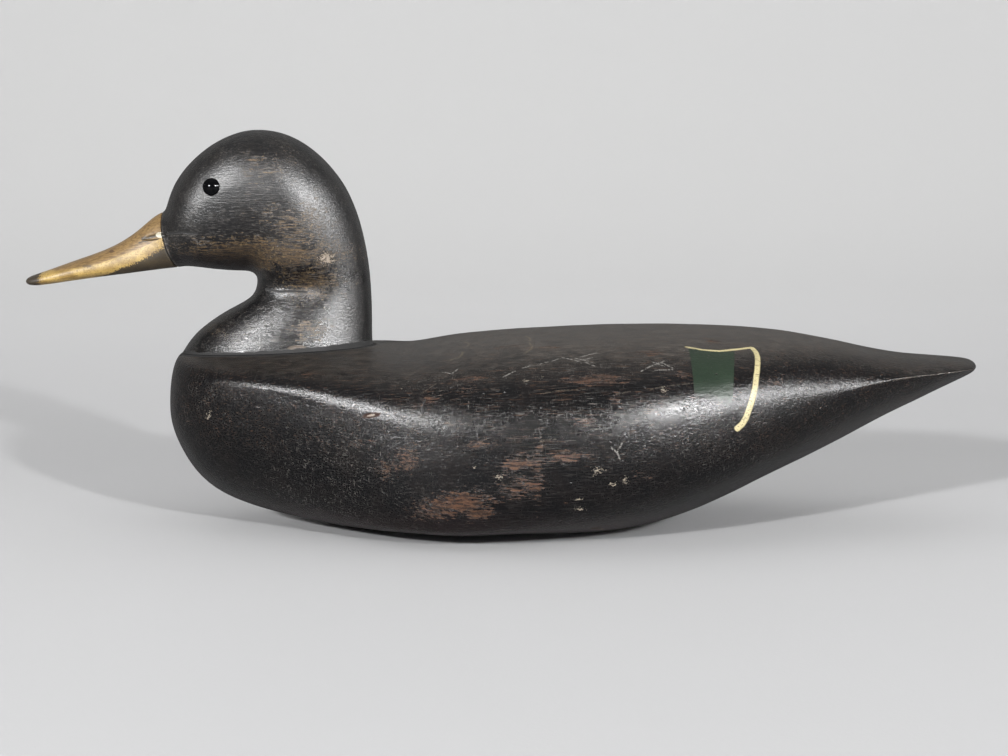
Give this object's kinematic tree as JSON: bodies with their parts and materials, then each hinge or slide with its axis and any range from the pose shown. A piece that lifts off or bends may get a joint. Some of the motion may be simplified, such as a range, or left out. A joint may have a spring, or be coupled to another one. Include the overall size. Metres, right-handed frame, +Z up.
{
  "type": "duck decoy",
  "caption": "Carved wooden black duck decoy with raised head, slender ochre bill, glass eyes, neck seated on the breast, tapered tail and planed flat underside.",
  "frame": {"origin": "on the surface the decoy stands on, under the middle of its overall length and breadth", "axes": "+X from bill to tail, +Y from the decoy's right side to its left side, +Z up through the crown; the bill points along -X and the pictured side faces -Y"},
  "size_m": [0.44, 0.162, 0.1833],
  "materials": {
    "body": "satin black paint on wood, worn to brown in patches, dusty above, with a green patch edged in cream on each rump side",
    "head": "satin black paint on wood, worn to golden brown on the cheeks; the bill is ochre with a dark lower edge",
    "eye": "polished near-black glass"
  },
  "bodies": {
    "root": {"body": "body", "head": "head", "eye_left": "eye", "eye_right": "eye"}
  },
  "joints": []
}
